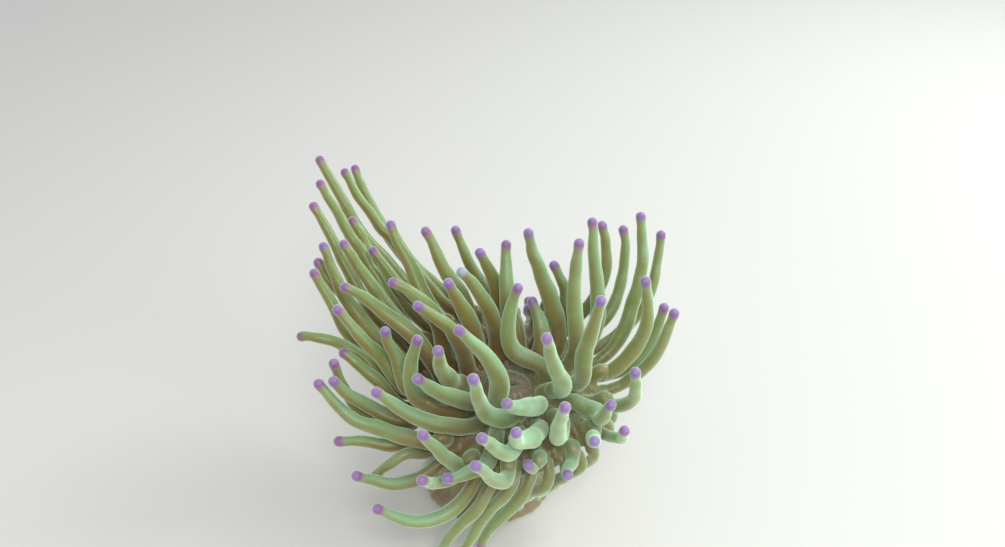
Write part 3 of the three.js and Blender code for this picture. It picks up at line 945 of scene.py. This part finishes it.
def soften_joins(mesh, facts):
    """Smooths the skin where a tentacle grows out of the body or out of another's root."""
    ends = edges_of(mesh)
    points = points_of(mesh)
    crossing = facts[ends[:, 0], NUMBER] != facts[ends[:, 1], NUMBER]
    crossing &= facts[ends, RUN].min(1) < ROOTS_END
    joins = tree_of(points[np.unique(ends[crossing])] / MM)
    distance = np.array([joins.find(p)[2] for p in points / MM])
    pull = FILLET_PULL * (1 - smoothstep(distance, FILLET_FULL * FILLET_REACH, FILLET_REACH))
    near = pull[ends].max(1) > 0
    a, b = ends[near].T
    count = np.bincount(np.concatenate([a, b]), minlength=len(points))[:, None]
    for _ in range(FILLET_ROUNDS):
        total = np.stack([
            np.bincount(a, points[b, k], len(points)) + np.bincount(b, points[a, k], len(points))
            for k in range(3)
        ], 1)
        middle = total / np.maximum(count, 1)
        points += (middle - points) * (pull * (count[:, 0] > 0))[:, None]
    points[:, 2] = np.maximum(points[:, 2], 0)
    mesh.vertices.foreach_set("co", points.astype(np.float32).ravel())
    mesh.update()


def carried_facts(mesh, surfaces):
    """Each corner of the skin takes the facts of the nearest corner of what it was made from."""
    tree = tree_of(np.vstack([surface.corners.reshape(-1, 3) for surface in surfaces]))
    facts = np.vstack([surface.facts.reshape(-1, FACTS) for surface in surfaces])
    nearest = [tree.find(p)[1] for p in points_of(mesh) / MM]
    return facts[nearest]


def set_attribute(mesh, name, values):
    kind, field = ("FLOAT", "value") if values.ndim == 1 else ("FLOAT_VECTOR", "vector")
    attribute = mesh.attributes.new(name, kind, "POINT")
    attribute.data.foreach_set(field, values.astype(np.float32).ravel())


def make_skin():
    tentacles = [Tentacle(*knots) for knots in tentacle_knots()]
    keep_apart(tentacles)
    surfaces = [body_surface(), *map(tentacle_surface, tentacles)]
    body, *tubes = [closed_mesh(f"source_{i}", surface) for i, surface in enumerate(surfaces)]
    skin = joined_skin(body, tubes)
    mesh = skin.data
    facts = carried_facts(mesh, surfaces)
    soften_joins(mesh, facts)
    mesh.polygons.foreach_set("use_smooth", np.ones(len(mesh.polygons), bool))
    for k, name in enumerate(FACT_NAMES):
        set_attribute(mesh, name, facts[:, k])
    set_attribute(mesh, "grain", facts[:, GRAIN:])
    normals = vectors_of(mesh.vertices, "normal")
    # How far each corner faces the side of the painted light, from 0 to 1: the tentacles are painted
    # paler there as painted light, and ochre on the far side as painted shade.
    set_attribute(mesh, "painted_light", 0.5 + 0.5 * normals @ unit(PAINTED_LIGHT_SIDE))
    return skin


# ---------------------------------------------------------------- flesh

OLIVE = rgb(119, 113, 42)
# Pale flesh on the warm side and on the cool side, also painted on as light on the tentacles' lit
# side.
LIGHT_OLIVE = rgb(114, 134, 74)
MINT = rgb(140, 180, 148)
# Painted shade on the tentacles' side away from the light.
SHADE_OCHRE = rgb(136, 92, 30)
# The roots' browner flesh, darkened as painted shade between the tentacles.
DARK_ROOT_BROWN = rgb(112, 72, 32)
LEAF = rgb(128, 148, 93)
VIOLET = rgb(122, 90, 154)
LILAC = rgb(144, 124, 180)
PLUM = rgb(132, 78, 136)
PINK = rgb(152, 108, 124)
PALE_TIP = rgb(150, 168, 178)
DISC_FLESH = rgb(126, 112, 92)
LINE_FLESH = rgb(186, 170, 136)
COLUMN_FLESH = rgb(132, 112, 82)
PALE_FLESH = rgb(162, 148, 116)
THROAT_FLESH = rgb(112, 88, 80)
SPECKLE = rgb(70, 62, 34)

# How fine each noise is, in cells for each metre.
PATCHES = 55.0
BLOTCHES = 90.0
TIP_EDGES = 240.0
GLOSS_SPOTS = 300.0
SPECKLES = 900.0
PORES = 1400.0

# The same for the noises that follow the grain, in cells for each millimetre across and along.
BANDS = (0.05, 0.05, 0.3)
WRINKLES = (0.16, 0.16, 0.95)

# A tip's colours, by how far from its end each begins and is full. The noise adds to the distance.
PINK_BAND = (10.5, 6.0)
VIOLET_TIP = (7.9, 4.7)
LILAC_END = (4.5, 1.0)
TIP_UNEVEN = 3.0
PLUM_NUMBERS = (44.0, 62.0)  # the outermost tentacles, numbered from here on, have darker tips

# The other colours, by the values between which each comes in.
PALER_ALONG = (90.0, 10.0)  # before a tentacle's end
# Paleness towards the tip, patches and painted light together turn a tentacle pale between these
# values.
PALER_AND_PAINTED_LIT = (0.8, 1.4)
SHADED = (0.65, 0.1)
PATCHY = (0.3, 0.6)
DARK_ROOT_RUN = (28.0, -20.0)
DARK_ROOT_UNEVEN = -40.0
BANDED = (0.45, 0.8)
WARM = (0.95, 0.45)  # how much painted ochre shade and darker root brown the tentacles have, from the warm side to the cool
DISC_LINED = (0.1, 0.9)
BLOTCHED = (0.35, 0.75)
COLUMN_LINED = (0.2, 0.9)
SPECKLED = (0.3, 0.8)
GLOSSY = (0.3, 0.7)
ROUGHNESS = (0.38, 0.52)
WRINKLED_RUN = (2.0, 9.0)
SMOOTH_TIP = (3.0, 12.0)

WRINKLE_BUMP = 0.25 * MM
PORE_BUMP = 0.12 * MM
LIGHT_REACH = 5 * MM  # under the skin


def facts_in(n):
    """What the material reads at each place of the skin."""
    facts = {name: n.attribute(name) for name in (*FACT_NAMES, "painted_light")}
    facts["grain"] = n.attribute("grain", "Vector")
    facts["place"] = n.place()
    facts["patches"] = n.noise(facts["place"], PATCHES, 3.0)
    facts["each"] = n.maths("FRACT", n.maths("MULTIPLY", facts["number"], 0.618))
    return facts


def tentacle_colour(n, at):
    """Olive, paler towards the tip, with painted light on its lit side, painted ochre shade on the far
    side, and a browner root darkened as painted shade; each a little different.
    """
    colour = n.mix(n.step(n.maths("ADD", at["each"], at["cool"]), 0.0, 2.0), OLIVE, LEAF)
    pale_and_painted_lit_flesh = n.mix(at["cool"], LIGHT_OLIVE, MINT)
    towards_tip = n.step(at["left"], *PALER_ALONG, 0.0, 0.3)
    paler_and_painted_lit = n.maths("ADD", towards_tip, n.maths("MULTIPLY", at["patches"], 0.5))
    # Painted light: the tentacles are painted paler on the side that faces the light.
    paler_and_painted_lit = n.maths("ADD", paler_and_painted_lit, at["painted_light"])
    colour = n.mix(n.step(paler_and_painted_lit, *PALER_AND_PAINTED_LIT), colour, pale_and_painted_lit_flesh)

    warm = n.step(at["cool"], 0.0, 1.0, *WARM)
    # Painted shade: ochre in patches on the side away from the light.
    shaded = n.maths("MULTIPLY", n.step(at["painted_light"], *SHADED), n.step(at["patches"], *PATCHY))
    colour = n.mix(n.maths("MULTIPLY", shaded, warm), colour, SHADE_OCHRE)
    # The roots are browner and darker: partly their own flesh, partly painted shade between the
    # tentacles.
    uneven_run = n.maths("ADD", at["run"], n.maths("MULTIPLY", at["patches"], DARK_ROOT_UNEVEN))
    colour = n.mix(n.maths("MULTIPLY", n.step(uneven_run, *DARK_ROOT_RUN), warm), colour, DARK_ROOT_BROWN)
    bands = n.noise(n.scaled(at["grain"], BANDS), 1.0, 3.0)
    return n.mix(n.step(bands, *BANDED, 0.0, 0.18), colour, pale_and_painted_lit_flesh)


def with_tips(n, at, colour):
    """A violet tip, paler at its very end, with a pinkish band under it."""
    uneven = n.maths("MULTIPLY", n.noise(at["place"], TIP_EDGES), TIP_UNEVEN)
    from_end = n.maths("ADD", at["left"], uneven)
    pinkness = n.maths(
        "MULTIPLY", n.step(from_end, *PINK_BAND), n.step(at["each"], 0.2, 1.0, 0.2, 0.7)
    )
    colour = n.mix(pinkness, colour, PINK)
    plumness = n.maths(
        "MAXIMUM", n.maths("MULTIPLY", at["each"], 0.8), n.step(at["number"], *PLUM_NUMBERS)
    )
    tip = n.mix(plumness, VIOLET, PLUM)
    tip = n.mix(n.step(from_end, *LILAC_END, 0.0, 0.6), tip, LILAC)
    tip = n.mix(n.maths("MULTIPLY", at["pale"], 0.75), tip, PALE_TIP)
    return n.mix(n.step(from_end, *VIOLET_TIP), colour, tip)


def with_body(n, at, colour):
    """The disc with its radial lines, the throat, and the blotched column."""
    disc = n.mix(n.step(at["radial"], *DISC_LINED, 0.0, 0.5), DISC_FLESH, LINE_FLESH)
    disc = n.mix(at["throat"], disc, THROAT_FLESH)
    colour = n.mix(at["disc"], colour, disc)
    blotches = n.noise(at["place"], BLOTCHES, 4.0, 0.6)
    column = n.mix(n.step(blotches, *BLOTCHED, 0.0, 0.55), COLUMN_FLESH, PALE_FLESH)
    column = n.mix(n.step(at["ridge"], *COLUMN_LINED, 0.0, 0.3), column, LINE_FLESH)
    return n.mix(at["column"], colour, column)


def speckled(n, at, colour):
    share = n.step(n.noise(at["place"], SPECKLES), *SPECKLED, 0.0, 0.12)
    return n.mix(share, colour, SPECKLE, "MULTIPLY")


def fine_relief(n, at):
    """Fine wrinkles round the tentacles, and a finer grain over everything."""
    wrinkles = n.noise(n.scaled(at["grain"], WRINKLES), 1.0, 3.0, 0.55)
    off_root, off_tip = n.step(at["run"], *WRINKLED_RUN), n.step(at["left"], *SMOOTH_TIP)
    off_ends = n.maths("MULTIPLY", off_root, off_tip)
    wrinkled = n.bump(n.maths("MULTIPLY", wrinkles, off_ends), 0.45, WRINKLE_BUMP)
    return n.bump(n.noise(at["place"], PORES), 0.3, PORE_BUMP, wrinkled)


def flesh_material():
    material, n = new_material("anemone_flesh")
    at = facts_in(n)
    colour = tentacle_colour(n, at)
    colour = with_tips(n, at, colour)
    colour = with_body(n, at, colour)
    n.set_shader(
        Base_Color=speckled(n, at, colour),
        Normal=fine_relief(n, at),
        Roughness=n.step(n.noise(at["place"], GLOSS_SPOTS), *GLOSSY, *ROUGHNESS),
        Subsurface_Weight=0.7,
        Subsurface_Radius=(1.0, 0.8, 0.35),
        Subsurface_Scale=LIGHT_REACH,
        Specular_IOR_Level=0.4,
        Coat_Weight=0.15,
        Coat_Roughness=0.25,
        Sheen_Weight=1.0,
        Sheen_Roughness=0.5,
        Sheen_Tint=rgb(205, 240, 205),
    )
    return material


# ---------------------------------------------------------------- the scene


add_camera()
add_studio()
add_floor()
skin = make_skin()
skin.data.materials.clear()
skin.data.materials.append(flesh_material())
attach(skin, "root")
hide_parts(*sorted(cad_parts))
